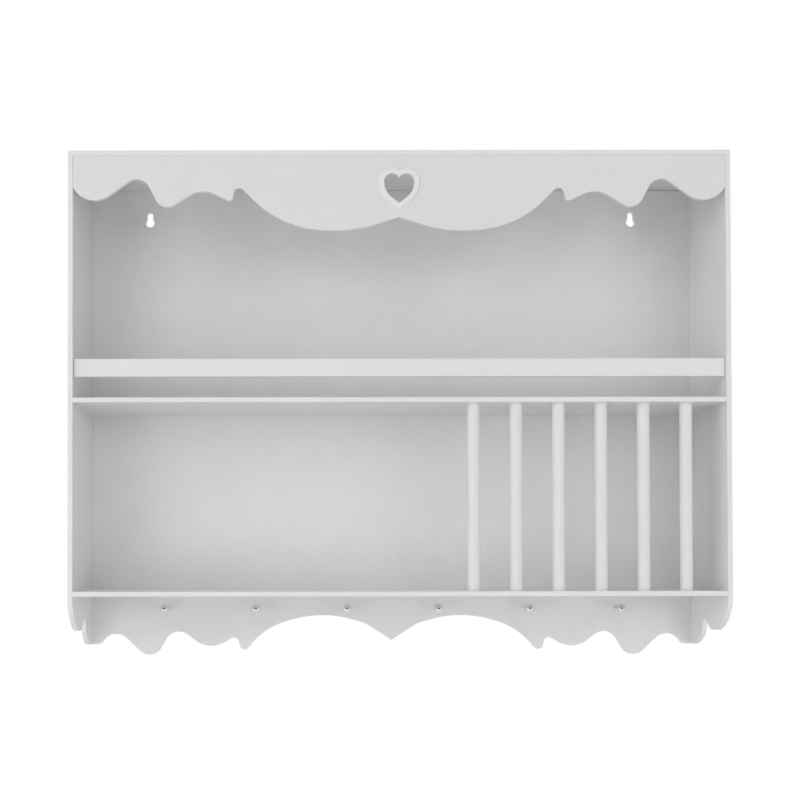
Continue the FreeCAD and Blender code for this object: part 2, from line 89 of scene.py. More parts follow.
# %% Directions and outlines
SEEN_FROM = {
    "front": np.array([[1, 0, 0], [0, 0, 1], [0, -1, 0]]),
    "back": np.array([[-1, 0, 0], [0, 0, 1], [0, 1, 0]]),
    "left": np.array([[0, -1, 0], [0, 0, 1], [-1, 0, 0]]),
    "right": np.array([[0, 1, 0], [0, 0, 1], [1, 0, 0]]),
    "above": np.array([[1, 0, 0], [0, 1, 0], [0, 0, 1]]),
}
U, V, W = 0, 1, 2
DECIMALS = 6
TOUCH = 10.0**-DECIMALS


def face_loops(node, side):
    """Closed outlines of a node's flat face, the largest first.

    The face holds the triangles whose corners all have w = max(w). An edge i -> j of one of them
    is on the border if no triangle has j -> i. Following the borders i -> j -> k gives loops, which
    run anticlockwise round the board and clockwise round its holes.
    """
    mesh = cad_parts[node].data
    mesh.calc_loop_triangles()
    places = np.empty(len(mesh.vertices) * 3)
    mesh.vertices.foreach_get("co", places)
    corners = np.empty(len(mesh.loop_triangles) * 3, dtype=np.int64)
    mesh.loop_triangles.foreach_get("vertices", corners)
    seen = places.reshape(-1, 3) @ SEEN_FROM[side].T
    seen, same = np.unique(np.round(seen, DECIMALS), axis=0, return_inverse=True)
    triangles = same.reshape(-1)[corners].reshape(-1, 3)
    high = seen[:, W].max()
    flat = triangles[(np.abs(seen[triangles][..., W] - high) < TOUCH).all(axis=1)]
    edges = np.concatenate([flat[:, [0, 1]], flat[:, [1, 2]], flat[:, [2, 0]]])
    borders = {tuple(e) for e in edges.tolist()} - {tuple(e) for e in edges[:, ::-1].tolist()}
    following = dict(borders)
    loops = []
    while following:
        loop = [next(iter(following))]
        while loop[-1] in following:
            loop.append(following.pop(loop[-1]))
        loops.append(seen[loop[:-1], :W])
    return sorted(loops, key=lambda loop: -np.ptp(loop, axis=0).prod())


valance_loops = face_loops("front_valance", "front")
print("valance outline and heart:", [len(loop) for loop in valance_loops], "points")

# %% Circles and boxes
SAME_CIRCLE = 0.1 * MM


def circles_among(loops, radius):
    """Centres of the round loops whose radius is within a tenth of a millimetre of a given one."""
    found = [(np.ptp(loop, axis=0).mean() / 2, loop.mean(axis=0)) for loop in loops]
    return [centre for size, centre in found if abs(size - radius) < SAME_CIRCLE]


def span_of(node, side):
    """Lowest and highest u, v and w of a node's box, as two rows."""
    ends = np.array([np.array(corner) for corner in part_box(node)]) @ SEEN_FROM[side].T
    return np.sort(ends, axis=0)


def rectangle_of(node, side):
    """Anticlockwise rectangle round a node's box."""
    (u0, v0, _), (u1, v1, _) = span_of(node, side)
    return np.array([[u0, v0], [u1, v0], [u1, v1], [u0, v1]])


top_of_case = span_of("left_side", "left")[1, V]
inner = span_of("front_valance", "front")[1, U]
print("between the sides:", round(2 * inner / MM), "mm")
print("top of the sides:", round(top_of_case / MM), "mm above the hanging line")

# %% [markdown]
# ## Smooth curves from few points
#
# The CAD mesh has one point every few millimetres, which would show as small flats along the
# scallops. A cubic curve through the same points is smooth, and it only needs a direction at each
# point. Sharp corners are kept apart: each becomes a very small arc, as a sanded corner is.

# %% Softened corners
SHARP_TURN = math.radians(20)
CORNER_STEPS = 7
INNER_CORNER = 0.3 * MM


def directions(loop):
    """Unit direction and length of the run from each point of a closed loop to the next."""
    step = np.roll(loop, -1, axis=0) - loop
    length = np.linalg.norm(step, axis=1, keepdims=True)
    return step / length, length


def outward(direction):
    """Normal that points out of the board: the direction turned a quarter turn clockwise."""
    return np.stack([direction[:, V], -direction[:, U]], axis=1)


def in_order(*parts):
    """Points of several arrays, each with its position along the loop, in the loop's order."""
    points = np.concatenate([points for points, _ in parts])
    position = np.concatenate([position for _, position in parts])
    return points[np.argsort(position, kind="stable")]


def soften_corners(loop, radius_at):
    """Each sharp corner becomes an arc that is tangent to its two runs.

    With unit normals a and b before and after a corner p, the arc's centre is
    c = p - s r (a + b) / (1 + a.b), where s is +1 at a convex corner and -1 at a concave one, and
    its points are c + s r n, where the unit normal n turns evenly from a to b. A concave corner
    stays sharper, because sandpaper does not reach it.
    """
    after, _ = directions(loop)
    before = np.roll(after, 1, axis=0)
    cross = before[:, U] * after[:, V] - before[:, V] * after[:, U]
    turn = np.arctan2(cross, (before * after).sum(axis=1))
    sharp = np.abs(turn) > SHARP_TURN
    if not sharp.any():
        return loop
    a, b = outward(before[sharp]), outward(after[sharp])
    radius = radius_at(loop[sharp])
    radius = np.where(turn[sharp] > 0, radius, np.minimum(radius, INNER_CORNER))
    reach = (np.sign(turn[sharp]) * radius)[:, None]
    centre = loop[sharp] - reach * (a + b) / (1 + (a * b).sum(axis=1, keepdims=True))
    share = np.linspace(0, 1, CORNER_STEPS)[None, :, None]
    whole = np.abs(turn[sharp])[:, None, None]
    from_a, to_b = np.sin((1 - share) * whole), np.sin(share * whole)
    normal = (from_a * a[:, None] + to_b * b[:, None]) / np.sin(whole)
    arcs = centre[:, None] + reach[:, None] * normal
    return in_order((loop[~sharp], np.flatnonzero(~sharp)),
                    (arcs.reshape(-1, 2), np.repeat(np.flatnonzero(sharp), CORNER_STEPS)))


rounded = soften_corners(valance_loops[0], lambda points: np.full(len(points), INNER_CORNER))
print("valance outline with its corners softened:", len(rounded), "points")


# %% Points near the ends of long runs
LONG_RUN = 14 * MM
NEAR_ENDS = np.array([1.2, 2, 3, 5]) * MM


def mark_run_ends(loop):
    """The loop with more points near both ends of its long runs, at set distances."""
    direction, length = directions(loop)
    long = np.flatnonzero(length[:, 0] > LONG_RUN)
    reach = np.concatenate([np.broadcast_to(NEAR_ENDS, (len(long), len(NEAR_ENDS))),
                            length[long] - NEAR_ENDS[::-1]], axis=1)
    extra = loop[long][:, None] + reach[..., None] * direction[long][:, None]
    position = long[:, None] + reach / length[long]
    return in_order((loop, np.arange(len(loop))), (extra.reshape(-1, 2), position.reshape(-1)))


print("and with its run ends marked:", len(mark_run_ends(rounded)), "points")


# %% A cubic curve through the points
CURVE_STEPS = 4


def refine(loop):
    """Cubic curve through a loop's points, and its outward unit normals.

    On a run from p to q with end directions d and e and length l, the curve at t from 0 to 1 is
    the Hermite cubic h00 p + h10 l d + h01 q + h11 l e. The direction at a point is that of the
    chord between its two neighbours.
    """
    chord = np.roll(loop, -1, axis=0) - np.roll(loop, 1, axis=0)
    d = chord / np.linalg.norm(chord, axis=1, keepdims=True)
    e = np.roll(d, -1, axis=0)
    q = np.roll(loop, -1, axis=0)
    t = np.linspace(0, 1, CURVE_STEPS, endpoint=False)[None, :, None]
    p, q, d, e, length = (part[:, None] for part in (loop, q, d, e, directions(loop)[1]))
    curve = ((2 * t**3 - 3 * t**2 + 1) * p + (t**3 - 2 * t**2 + t) * length * d
             + (3 * t**2 - 2 * t**3) * q + (t**3 - t**2) * length * e)
    slope = ((6 * t**2 - 6 * t) * p + (3 * t**2 - 4 * t + 1) * length * d
             + (6 * t - 6 * t**2) * q + (3 * t**2 - 2 * t) * length * e).reshape(-1, 2)
    return curve.reshape(-1, 2), outward(slope / np.linalg.norm(slope, axis=1, keepdims=True))


print("and as a smooth curve:", len(refine(mark_run_ends(rounded))[0]), "points")

# %% [markdown]
# ## How far each edge is eased
#
# A sanded and painted edge is a quarter round of about a millimetre. Where two boards meet it is
# much smaller, because the joint is filled with paint and only a hairline stays. So the easing is a
# number that depends on the place: small near a joint, and growing to its full size away from it.
# The back panel is let in behind the other boards, and there the paint leaves a wider dark line.

# %% Easing as a function of place
JOINT_EASE = 0.25 * MM
PANEL_JOINT_EASE = 0.3 * MM
JOINT_REACH = 0.8 * MM
EASE_RUN = 4 * MM
CORNER_SHARE = 1.5


def eased(front, back=None, joints=(), at_joint=JOINT_EASE):
    """Rule that gives the easing radius on the front and on the back face at each point.

    With d the distance to the nearest joint line, s = (d - 0.8 mm) / 4 mm held between 0 and 1,
    and the radius is j + (full - j)(3 s^2 - 2 s^3), where j is the small radius at a joint.
    """
    full = np.array([[front], [front if back is None else back]])

    def rule(points):
        away = [np.abs(points[:, axis] - value) for axis, value in joints]
        nearest = np.min(away, axis=0) if joints else np.full(len(points), LONG_RUN)
        s = np.clip((nearest - JOINT_REACH) / EASE_RUN, 0, 1)
        least = np.minimum(at_joint, full)
        return least + (full - least) * (3 * s**2 - 2 * s**3)

    return rule


def corner_radius(rule):
    """Radius for the sharp corners under an easing rule: one and a half times the easing there."""
    return lambda points: CORNER_SHARE * rule(points).max(axis=0)


two_places = eased(1 * MM, joints=[(U, inner)])(np.array([[inner, 0], [0, 0]]))[0] / MM
print("an edge of 1 mm at a joint and away from it:", two_places.tolist(), "mm")

# %% [markdown]
# ## A board with eased edges
#
# A Bevel modifier would ease the edges too, but it struggles on hundreds of short ones. So the edge
# is drawn directly: a profile of quarter round, straight wall and quarter round is carried along
# every loop. The flat faces between the loops are then filled with triangles. The exact normals
# are known, so they are given to the mesh, and the light rolls evenly over each edge.

# %% Mesh pieces from grids


class Surface:
    """Points, normals and faces that are gathered from several grids into one mesh."""

    def __init__(self):
        self.points, self.normals, self.edges, self.faces = [], [], [], []
        self.count = 0

    def add_points(self, points, normals, edge=0):
        """Append points with unit normals and an edge mark, and return their numbers."""
        self.points.append(points)
        self.normals.append(normals)
        self.edges.append(np.broadcast_to(edge, len(points)))
        self.count += len(points)
        return np.arange(self.count - len(points), self.count)

    def add_strip(self, grid):
        """Quads between the rows of a grid of point numbers whose rows are closed rings."""
        onward = np.roll(grid, -1, axis=1)
        quads = np.stack([grid[:-1], grid[1:], onward[1:], onward[:-1]], axis=-1).reshape(-1, 4)
        self.faces += quads.tolist()

    def add_fan(self, ring, centre):
        """Triangles from a ring of point numbers to one middle point."""
        onward = np.roll(ring, -1)
        self.faces += np.stack([ring, np.full_like(ring, centre), onward], axis=1).tolist()

    def piece(self, name):
        """The finished mesh object, riding on the shelf's one body."""
        mesh = bpy.data.meshes.new(name)
        mesh.from_pydata(np.concatenate(self.points).tolist(), [], self.faces)
        mesh.polygons.foreach_set("use_smooth", np.ones(len(mesh.polygons), dtype=bool))
        mark = mesh.attributes.new("edge", "FLOAT", "POINT")
        mark.data.foreach_set("value", np.concatenate(self.edges).astype(np.float32))
        mesh.normals_split_custom_set_from_vertices(np.concatenate(self.normals).tolist())
        made = bpy.data.objects.new(name, mesh)
        bpy.context.scene.collection.objects.link(made)
        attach(made, "root")
        return made


# %% The profile of an eased edge
EASE_STEPS = 5


def edge_profile(thickness, front, back):
    """Rows of an eased edge: inset, height and the two parts of the normal at each angle.

    On a quarter round of radius r the point at angle a lies r (1 - cos a) in from the outline and
    r (1 - sin a) below the face, and its normal is (cos a, sin a).
    """
    upper = np.linspace(math.pi / 2, 0, EASE_STEPS)[:, None]
    lower = -upper[::-1]
    angle = np.concatenate([upper, lower])
    inset = np.concatenate([front * (np.cos(upper) - 1), back * (np.cos(lower) - 1)])
    height = np.concatenate([front * (np.sin(upper) - 1), back * (np.sin(lower) + 1) - thickness])
    return inset[..., None], height[..., None], np.cos(angle)[..., None], np.sin(angle)[..., None]


# %% Flat faces between loops
KEEP_ORDER = 1
MERGE = 1e-9


def within(points, start, end):
    """Whether a level ray to the right of each point crosses the edges an odd number of times.

    An edge from s to e meets the ray of a point p if only one of its ends is above p, and if p lies
    on the left of a rising edge or on the right of a falling one: (e - s) x (p - s) tells which.
    """
    point, run = points[:, None], end - start
    rising = end[:, V] > point[..., V]
    meets = rising != (start[:, V] > point[..., V])
    turn = run[:, U] * (point[..., V] - start[:, V]) - run[:, V] * (point[..., U] - start[:, U])
    return (meets & ((turn > 0) == rising)).sum(axis=1) % 2 == 1


def fill_between(loops, numbers):
    """Triangles of the flat area between loops, as the loops' own point numbers.

    The triangulation fills the holes as well, so only the triangles whose middle is inside stay.
    """
    lengths = np.array([len(loop) for loop in loops])
    firsts = np.repeat(np.cumsum(lengths) - lengths, lengths)
    here = np.arange(lengths.sum())
    onward = firsts + (here - firsts + 1) % np.repeat(lengths, lengths)
    flat = np.concatenate(loops)
    filled = delaunay_2d_cdt([Vector(point) for point in flat.tolist()],
                             np.stack([here, onward], axis=1).tolist(), [], KEEP_ORDER, MERGE)
    origin = np.array([origins[0] for origins in filled[3]])
    triangles = origin[np.array(filled[2])]
    middle = flat[triangles].mean(axis=1)
    return np.concatenate(numbers)[triangles[within(middle, flat, flat[onward])]]


# %% The board itself
ROUND_STEPS = 40
around = np.linspace(0, 2 * math.pi, ROUND_STEPS, endpoint=False)
CIRCLE = np.stack([np.cos(around), np.sin(around)], axis=1)


def placed(flat, height, axes):
    """Points in space from their u, v and w."""
    return np.concatenate([flat, np.broadcast_to(height, (*flat.shape[:-1], 1))], axis=-1) @ axes


def board(name, node, side, outline, rule, holes=(), hollows=()):
    """A flat board as one closed mesh that takes the place of a CAD node.

    outline is the loop round the board and rule its easing. holes are pairs of a loop and a rule.
    hollows are triples of a face, +1 or -1, a centre and a turned profile.
    """
    axes = SEEN_FROM[side]
    (_, _, low), (_, _, high) = span_of(node, side)
    surface = Surface()
    faces = {1: ([], []), -1: ([], [])}
    for loop, easing in [(outline, rule), *holes]:
        points, normals = refine(mark_run_ends(soften_corners(loop, corner_radius(easing))))
        points = np.clip(points, loop.min(axis=0), loop.max(axis=0))
        inset, height, across, along_w = edge_profile(high - low, *easing(points))
        flat = points + inset * normals
        tilt = placed(across * normals, along_w, axes)
        mark = np.ones(flat.shape[:2])
        mark[[0, -1]] = 0
        numbers = surface.add_points(placed(flat, high + height, axes).reshape(-1, 3),
                                     tilt.reshape(-1, 3), mark.reshape(-1))
        grid = numbers.reshape(flat.shape[:2])
        surface.add_strip(grid)
        for face, row in ((1, 0), (-1, -1)):
            faces[face][0].append(flat[row])
            faces[face][1].append(grid[row])
    for face, centre, (places, normals) in hollows:
        ring = CIRCLE[::-1]
        flat = centre + places[:, None, :1] * ring
        height = (high if face > 0 else low) + face * places[:, None, 1:]
        tilt = placed(normals[:, None, :1] * ring, face * normals[:, None, 1:], axes)
        numbers = surface.add_points(placed(flat, height, axes).reshape(-1, 3), tilt.reshape(-1, 3))
        grid = numbers.reshape(flat.shape[:2])
        middle = placed(centre[None], height[-1], axes)
        floor = surface.add_points(middle, face * axes[2:])[0]
        surface.add_strip(grid if face > 0 else grid[:, ::-1])
        surface.add_fan(grid[-1] if face > 0 else grid[-1][::-1], floor)
        faces[face][0].append(flat[0])
        faces[face][1].append(grid[0])
    for face, (loops, numbers) in faces.items():
        triangles = fill_between(loops, numbers)
        surface.faces += (triangles if face > 0 else triangles[:, ::-1]).tolist()
    made = surface.piece(name)
    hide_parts(node)
    print(name + ":", len(made.data.vertices), "points,", len(made.data.polygons), "faces")
    return made


# %% [markdown]
# ## Turned shapes
#
# The dowels, the pegs, the heads of the pins and the small hollows for them are all turned: a
# profile of radius and height that is spun round a line. A profile is given by a few corners, and
# each corner is rounded a little, as a tool or a coat of paint leaves it.

# %% Profiles and their turning
DOUBLED = 0.001 * MM


def turned_profile(corners, ease):
    """Points and normals along a polyline of radius and height, rounded at its inner corners.

    Near a corner p the points follow (1-t)^2 a + 2 t (1-t) p + t^2 b, where a and b lie one ease
    before and after p. The normal is the direction of travel turned a quarter turn to the left.
    Where two roundings meet half-way along a run, their common point is kept once.
    """
    corners = np.array(corners, dtype=float)
    step = np.diff(corners, axis=0)
    length = np.linalg.norm(step, axis=1, keepdims=True)
    unit = step / length
    reach = np.minimum(ease, np.minimum(length[:-1], length[1:]) / 2)
    middle = corners[1:-1, None]
    a, b = corners[1:-1] - unit[:-1] * reach, corners[1:-1] + unit[1:] * reach
    t = np.linspace(0, 1, EASE_STEPS)[None, :, None]
    bends = (1 - t)**2 * a[:, None] + 2 * t * (1 - t) * middle + t**2 * b[:, None]
    heading = (1 - t) * unit[:-1, None] + t * unit[1:, None]
    points = np.concatenate([corners[:1], bends.reshape(-1, 2), corners[-1:]])
    heading = np.concatenate([unit[:1], heading.reshape(-1, 2), unit[-1:]])
    heading /= np.linalg.norm(heading, axis=1, keepdims=True)
    apart = np.append(True, np.linalg.norm(np.diff(points, axis=0), axis=1) > DOUBLED)
    return points[apart], np.stack([-heading[:, 1], heading[:, 0]], axis=1)[apart]


def turn_piece(surface, profile, centre, side):
    """Add a turned shape to a surface. Its line runs along w through a centre in u and v.

    The profile runs from the highest point on the line to the lowest, and its own height is w.
    """
    axes = SEEN_FROM[side]
    places, normals = profile
    flat = centre + places[1:-1, None, :1] * CIRCLE
    tilt = placed(normals[1:-1, None, :1] * CIRCLE, normals[1:-1, None, 1:], axes)
    numbers = surface.add_points(placed(flat, places[1:-1, None, 1:], axes).reshape(-1, 3),
                                 tilt.reshape(-1, 3))
    grid = numbers.reshape(flat.shape[:2])
    poles = placed(np.broadcast_to(centre, (2, 2)), places[[0, -1], 1:], axes)
    first, last = surface.add_points(poles, np.array([[1], [-1]]) * axes[2])
    surface.add_strip(grid)
    surface.add_fan(grid[0][::-1], first)
    surface.add_fan(grid[-1], last)


# %% Round hollows


def hollow(radius, depth, ease):
    """Profile of a round hollow, from its rim inwards, with its normals on the open side."""
    corners = [(radius + 2 * ease, 0), (radius, 0), (radius, -depth), (0, -depth)]
    points, normals = turned_profile(corners, ease)
    return points[:-1], -normals[:-1]


PIN_RING = hollow(1.6 * MM, 0.16 * MM, 0.1 * MM)
SHANK_RING = hollow(1.75 * MM, 0.5 * MM, 0.1 * MM)
SOCKET = hollow(7.6 * MM, 3 * MM, 0.15 * MM)
print("points on the profile of a dowel's socket:", len(SOCKET[0]))

# %% [markdown]
# ## The boards of the case
#
# The two side boards, the top board, the two shelves and the back panel are plain boards. The heads
# of the pins that hold them show as faint rings in the paint on the outer faces, so each of those
# faces gets a shallow round hollow wherever the CAD node has a pin. The shelves get the sockets of
# the dowels, on the underside of the upper one and on the top of the lower one.
#
# The back panel sits a little low on the right. In the photograph a black line shows there between
# it and the top board, and no line shows on the left, so its top edge falls away to the right.

# %% Side boards
PIN_HEAD = 1.35 * MM
SIDE_EASE = 0.8 * MM, 0.6 * MM

pin_heads = []
sides = []
for hand in ("left", "right"):
    loops = face_loops(f"{hand}_side", hand)
    centres = circles_among(loops, PIN_HEAD)
    pin_heads += [(hand, centre, span_of(f"{hand}_side", hand)[1, W]) for centre in centres]
    sides.append(board(f"{hand}_side_board", f"{hand}_side", hand, loops[0],
                       eased(*SIDE_EASE, joints=[(V, top_of_case)]),
                       hollows=[(1, centre, PIN_RING) for centre in centres]))
print(len(pin_heads), "pin heads on the two sides")

# %% Top board
TOP_EASE = 1.0 * MM, 0.3 * MM

centres = circles_among(face_loops("top_board", "above"), PIN_HEAD)
pin_heads += [("above", centre, span_of("top_board", "above")[1, W]) for centre in centres]
capping_board = board("capping_board", "top_board", "above", rectangle_of("top_board", "above"),
                      eased(*TOP_EASE), hollows=[(1, centre, PIN_RING) for centre in centres])

# %% Back panel: the top edge
RIGHT_GAP = 0.8 * MM
MIDDLE_GAP = RIGHT_GAP / 5
SAME_LEVEL = 0.01 * MM

outline, *inner_loops = face_loops("back_panel", "front")
at_top = np.flatnonzero(outline[:, V] > top_of_case - SAME_LEVEL)
outline[at_top, V] -= RIGHT_GAP * (outline[at_top, U] > 0)
after_right = at_top[np.argmax(outline[at_top, U])] + 1
outline = np.insert(outline, after_right, [[0, top_of_case - MIDDLE_GAP]], axis=0)
print("gap at the right end:", round((top_of_case - outline[after_right - 1, V]) / MM, 2), "mm")

# %% Back panel
SMALLEST_KEYHOLE = 8 * MM
SHANK_HOLE = 1.65 * MM
PANEL_EASE = 1.0 * MM, 0.8 * MM
KEYHOLE_EASE = 0.5 * MM
CASE_JOINTS = [(V, top_of_case), (U, inner), (U, -inner)]

keyholes = [loop for loop in inner_loops if np.ptp(loop, axis=0).min() > SMALLEST_KEYHOLE]
behind = face_loops("back_panel", "back")
mirror = np.array([-1, 1])
back_centres = circles_among(behind, PIN_HEAD)
shank_centres = circles_among(behind, SHANK_HOLE)
pin_heads += [("back", centre, 0.0) for centre in back_centres]
scalloped_back = board(
    "scalloped_back", "back_panel", "front", outline,
    eased(*PANEL_EASE, CASE_JOINTS, PANEL_JOINT_EASE),
    holes=[(loop, eased(KEYHOLE_EASE)) for loop in keyholes],
    hollows=[(-1, centre * mirror, PIN_RING) for centre in back_centres]
    + [(-1, centre * mirror, SHANK_RING) for centre in shank_centres])
print(len(keyholes), "keyholes,", len(shank_centres), "peg shanks")

# %% Shelves
SHELF_EASE = 0.8 * MM

dowel_nodes = sorted(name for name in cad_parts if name.startswith("rack_dowel"))
dowel_centres = [span_of(name, "above").mean(axis=0)[:W] for name in dowel_nodes]
shelves = []
for name, node, face in (("upper_shelf", "middle_shelf", -1), ("lower_shelf", "bottom_shelf", 1)):
    rear = span_of(node, "above")[1, V]
    shelves.append(board(name, node, "above", rectangle_of(node, "above"),
                         eased(SHELF_EASE, joints=[(U, inner), (U, -inner), (V, rear)]),
                         hollows=[(face, centre, SOCKET) for centre in dowel_centres]))

# %% [markdown]
# ## Valance, heart and guard rail
#
# The valance is a board like the others, with the heart as a second loop. Round the heart sits a
# raised heart-shaped ring, cut from thin board. Its outline is the same heart made larger by a
# constant margin, which the CAD node holds already, so it is one more board with a heart as its
# hole. The guard rail is a plain bar, and its rectangle comes from the node's box.
#
# Where the valance meets the case, the photograph shows a fine dark line, widest at the top of the
# left end. Such a line is a shadow in a gap, so the valance is made a hair smaller there. The rail
# stays bright up to a dark line of about two pixels at each end, so it stops half a millimetre
# short of the sides.

# %% Scalloped valance
HAIRLINE = 0.12 * MM
OPEN_JOINT = 0.35 * MM
VALANCE_EASE = 1.1 * MM, 0.8 * MM
HEART_EASE = 0.1 * MM, 0.15 * MM

outline, heart = valance_loops
level = (outline[:, V] - outline[:, V].min()) / np.ptp(outline[:, V])
left_end = -inner + HAIRLINE + (OPEN_JOINT - HAIRLINE) * level**2
outline = np.stack([np.clip(outline[:, U], left_end, inner - HAIRLINE),
                    np.minimum(outline[:, V], top_of_case - HAIRLINE)], axis=1)
valance = board(
    "scalloped_valance", "front_valance", "front", outline,
    eased(*VALANCE_EASE, joints=CASE_JOINTS),
    holes=[(heart, eased(*HEART_EASE))])

# %% Heart ring
RING_EASE = 0.9 * MM, 0.1 * MM
RING_HOLE_EASE = 0.15 * MM, 0.1 * MM

ring, ring_hole = face_loops("heart_rim", "front")
heart_ring = board("heart_ring", "heart_rim", "front", ring, eased(*RING_EASE),
                   holes=[(ring_hole, eased(*RING_HOLE_EASE))])

# %% Guard rail
RAIL_GAP = 0.5 * MM
RAIL_EASE = 1.2 * MM

outline = rectangle_of("guard_rail", "front")
outline[:, U] = np.clip(outline[:, U], RAIL_GAP - inner, inner - RAIL_GAP)
rail = board("guard_bar", "guard_rail", "front", outline,
             eased(RAIL_EASE, joints=[(U, inner), (U, -inner)]))

# %% [markdown]
# ## Dowels, pegs and pins
#
# A painted dowel is a straight round stick, but where it enters a shelf the paint gathers in the
# corner and leaves a small bead. The pegs are turned metal: a ball on a thin rod. The ball is
# sampled by angle, so that its highlight is round, and runs into the rod over a small hollow curve.

# %% Plate rack dowels
BEAD_PROUD = 0.6 * MM
BEAD_START = 0.3 * MM
BEAD_CREST = 0.1 * MM
BEAD_END = 1.0 * MM
DOWEL_EASE = 0.5 * MM

shelf_under = span_of("middle_shelf", "above")[0, W]
shelf_top = span_of("bottom_shelf", "above")[1, W]
dowels = []
for number, (node, centre) in enumerate(zip(dowel_nodes, dowel_centres), 1):
    low, high = span_of(node, "above")
    radius = (high - low)[U] / 2
    bead = radius + BEAD_PROUD
    corners = [(0, high[W]), (radius, high[W]), (radius, shelf_under + BEAD_START),
               (bead, shelf_under + BEAD_CREST), (radius, shelf_under - BEAD_END),
               (radius, shelf_top + BEAD_END), (bead, shelf_top - BEAD_CREST),
               (radius, shelf_top - BEAD_START), (radius, low[W]), (0, low[W])]
    surface = Surface()
    turn_piece(surface, turned_profile(corners, DOWEL_EASE), centre, "above")
    dowel = surface.piece(f"plate_dowel_{number}")
    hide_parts(node)
    dowels.append(dowel)
print(len(dowels), "dowels of", round(2 * radius / MM, 1), "mm")


# %% The profile of a peg
BALL_STEPS = 24
ROD_RADIUS = 2.1 * MM
NECK_RADIUS = 1.25 * ROD_RADIUS
NECK_LENGTH = 0.5 * MM
FOOT_PROUD = 0.5 * MM
FOOT_LENGTH = 0.9 * MM
FOOT_BACK_PROUD = 0.4 * MM
FOOT_SUNK = 0.3 * MM
SHANK_RADIUS = 1.6 * MM
SHANK_START = 0.4 * MM
SHANK_END = 0.1 * MM
PEG_EASE = 0.35 * MM
panel_front = span_of("back_panel", "front")[1, W]


def peg_profile(tip, radius):
    """Ball, neck, rod with a small foot at the panel, and shank, from the tip inwards.

    On the ball the point at angle a is (R sin a, c + R cos a) and its normal (sin a, cos a).
    """
    middle = tip - radius
    a = np.linspace(0, math.pi - math.asin(NECK_RADIUS / radius), BALL_STEPS)[:, None]
    across = np.concatenate([np.sin(a), np.cos(a)], axis=1)
    ball = radius * across + [0, middle]
    corners = [ball[-1], (ROD_RADIUS, ball[-1, 1] - NECK_LENGTH),
               (ROD_RADIUS, panel_front + FOOT_LENGTH), (ROD_RADIUS + FOOT_PROUD, panel_front),
               (ROD_RADIUS + FOOT_BACK_PROUD, panel_front - FOOT_SUNK),
               (SHANK_RADIUS, panel_front - SHANK_START), (SHANK_RADIUS, SHANK_END), (0, SHANK_END)]
    points, normals = turned_profile(corners, PEG_EASE)
    return np.concatenate([ball, points[1:]]), np.concatenate([across, normals[1:]])


print("the pegs stand on a panel of", round(panel_front / MM, 1), "mm")

# %% Ball pegs
peg_nodes = sorted(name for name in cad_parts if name.startswith("peg_"))
pegs = []
for number, node in enumerate(peg_nodes, 1):
    low, high = span_of(node, "front")
    surface = Surface()
    turn_piece(surface, peg_profile(high[W], (high - low)[U] / 2), (low + high)[:W] / 2, "front")
    peg = surface.piece(f"ball_peg_{number}")
    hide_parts(node)
    pegs.append(peg)
print(len(pegs), "pegs of", len(peg.data.polygons), "faces each")

# %% Pin heads
HEAD_RADIUS = 1.3 * MM
HEAD_SUNK = 0.04 * MM
HEAD_CROWN = 0.03 * MM
HEAD_HEIGHT = 0.6 * MM
HEAD_EASE = 0.22 * MM

surface = Surface()
for side, centre, level in pin_heads:
    top = level - HEAD_SUNK
    corners = [(0, top), (HEAD_RADIUS, top - HEAD_CROWN),
               (HEAD_RADIUS, top - HEAD_HEIGHT), (0, top - HEAD_HEIGHT)]
    turn_piece(surface, turned_profile(corners, HEAD_EASE), centre, side)
painted_pins = surface.piece("painted_pin_heads")
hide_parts("panel_pins")
print(len(pin_heads), "pin heads")

# %% [markdown]
# ## Writing materials as sums
#
# A material is a small calculation. Wiring nodes by hand hides it, so a socket is wrapped in a
# class that knows plus and times: an expression on such values adds the Math nodes. Any other node
# comes from one method that takes its type, its settings and what goes into it.

# %% A small language for nodes


class Value:
    """A node's output. Sums with other values or with numbers add Math nodes."""

    def __init__(self, graph, socket):
        self.graph, self.socket = graph, socket

    def maths(self, operation, first, second):
        return self.graph.node("ShaderNodeMath", {"operation": operation}, {0: first, 1: second})

    def __add__(self, other):
        return self.maths("ADD", self, other)

    def __mul__(self, other):
        return self.maths("MULTIPLY", self, other)

    __radd__, __rmul__ = __add__, __mul__


# %% The graph of one material
MIX_FIRST, MIX_SECOND, MIX_RESULT = 6, 7, 2  # colour sockets, whose names a Mix node uses twice


